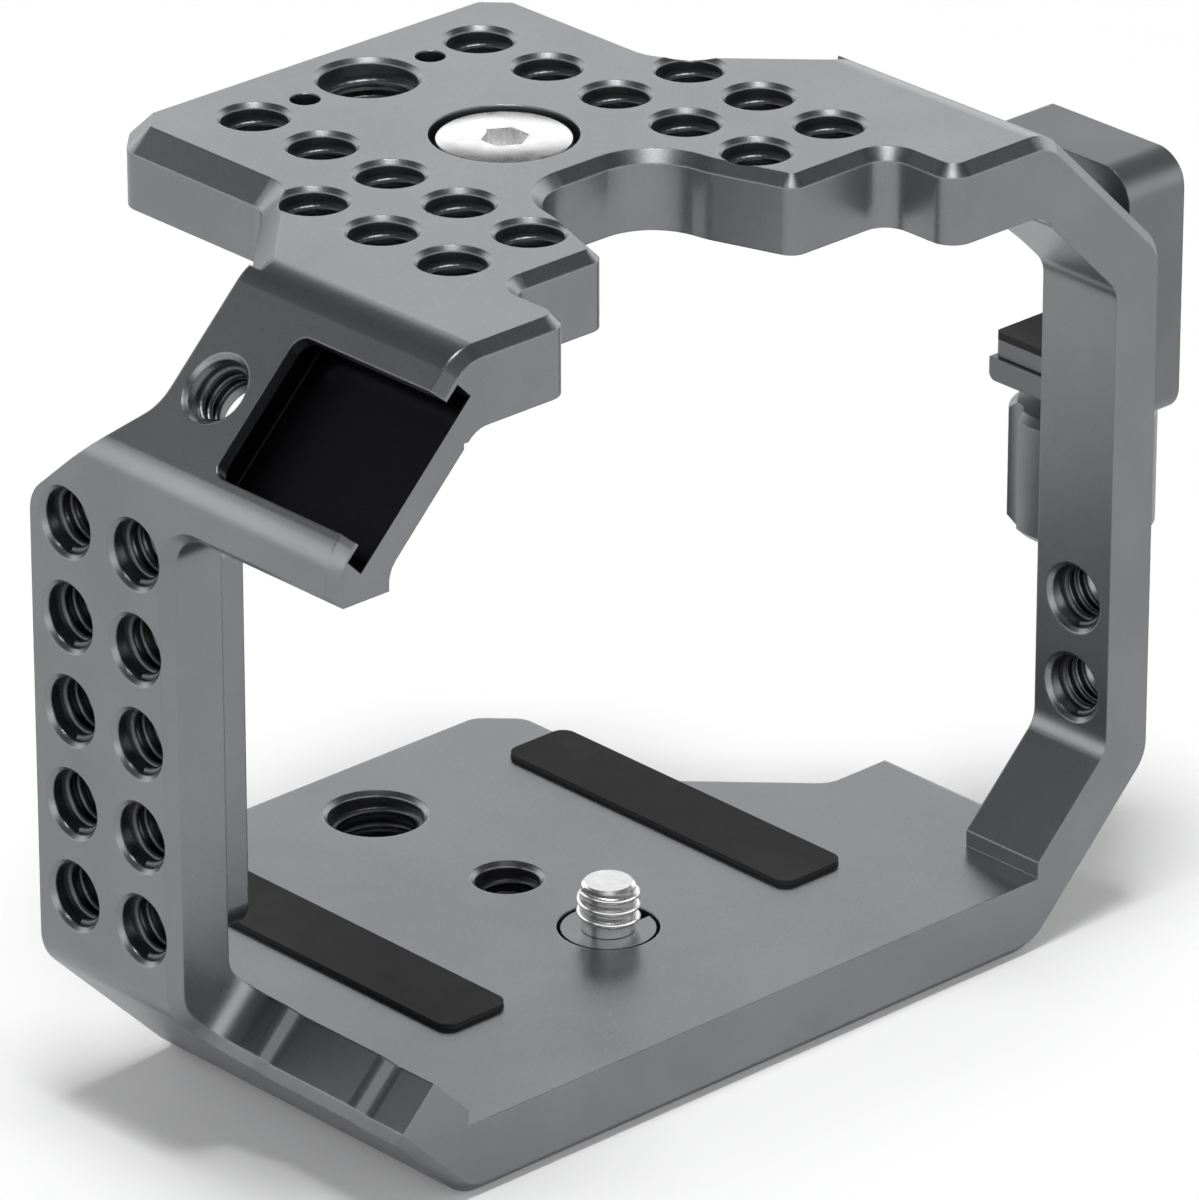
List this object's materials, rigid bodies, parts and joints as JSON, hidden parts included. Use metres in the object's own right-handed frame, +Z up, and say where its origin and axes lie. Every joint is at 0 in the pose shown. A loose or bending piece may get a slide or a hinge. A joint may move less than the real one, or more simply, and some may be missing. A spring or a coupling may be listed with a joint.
{
  "type": "camera cage",
  "caption": "Open aluminium cage around a compact camera, with threaded mounting holes, an accessory shoe, captive camera screws and a screw-driven cable clamp.",
  "frame": {"origin": "axis of the quarter inch thread in the base, on the bottom face, directly below the top camera screw", "axes": "+X to the right as seen from behind the camera, +Y forward along the lens, +Z up"},
  "size_m": [0.1182, 0.0637, 0.0852],
  "materials": {
    "frame_anodised": "fine bead-blasted, dark grey anodised",
    "clamp_anodised": "fine bead-blasted, dark grey anodised",
    "knob_anodised": "dark grey anodised, bright turned edges",
    "screw_steel": "bright turned steel",
    "clamp_steel": "turned steel",
    "black_steel": "blackened steel",
    "ring_steel": "spring steel",
    "washer_nylon": "black nylon",
    "pad_rubber": "matt black rubber"
  },
  "bodies": {
    "frame": {"cage_frame": "frame_anodised", "top_pads": "pad_rubber", "base_pads": "pad_rubber", "side_pad": "pad_rubber", "clamp_body": "clamp_anodised", "clamp_mounting_screws": "black_steel", "clamp_dowels": "clamp_steel", "clamp_top_pad": "pad_rubber"},
    "top_screw_carriage": {"top_screw_washer": "washer_nylon", "top_screw_retaining_ring": "ring_steel"},
    "top_screw": {"top_camera_screw": "screw_steel"},
    "base_screw_carriage": {"base_screw_washer": "washer_nylon", "base_screw_retaining_ring": "ring_steel"},
    "base_screw": {"base_camera_screw": "screw_steel"},
    "jaw": {"clamp_jaw": "clamp_anodised", "clamp_jaw_pad": "pad_rubber", "clamp_stem": "clamp_steel"},
    "knob": {"clamp_knob": "knob_anodised", "clamp_knob_ring": "ring_steel"}
  },
  "joints": [
    {"name": "top_screw_lift", "type": "slide", "parent": "frame", "child": "top_screw_carriage", "axis": [0, 0, 1], "range_m": [0, 0.0019]},
    {"name": "top_screw_turn", "type": "hinge", "parent": "top_screw_carriage", "child": "top_screw", "pos_m": [0, 0, 0.0852], "axis": [0, 0, 1], "range_deg": [0, 530]},
    {"name": "base_screw_drop", "type": "slide", "parent": "frame", "child": "base_screw_carriage", "axis": [0, 0, -1], "range_m": [0, 0.0017]},
    {"name": "base_screw_turn", "type": "hinge", "parent": "base_screw_carriage", "child": "base_screw", "pos_m": [0, -0.0143, 0], "axis": [0, 0, -1], "range_deg": [0, 475]},
    {"name": "jaw_slide", "type": "slide", "parent": "frame", "child": "jaw", "axis": [0, 0, 1], "range_m": [0, 0.011]},
    {"name": "knob_turn", "type": "hinge", "parent": "frame", "child": "knob", "pos_m": [0.058, -0.01985, 0.0404], "axis": [0, 0, -1], "range_deg": [0, 7920]}
  ],
  "couplings": [
    {"joint": "top_screw_lift", "follows": "top_screw_turn", "m_per_rad": 0.00020213},
    {"joint": "base_screw_drop", "follows": "base_screw_turn", "m_per_rad": 0.00020213},
    {"joint": "jaw_slide", "follows": "knob_turn", "m_per_rad": 0.000079577}
  ]
}
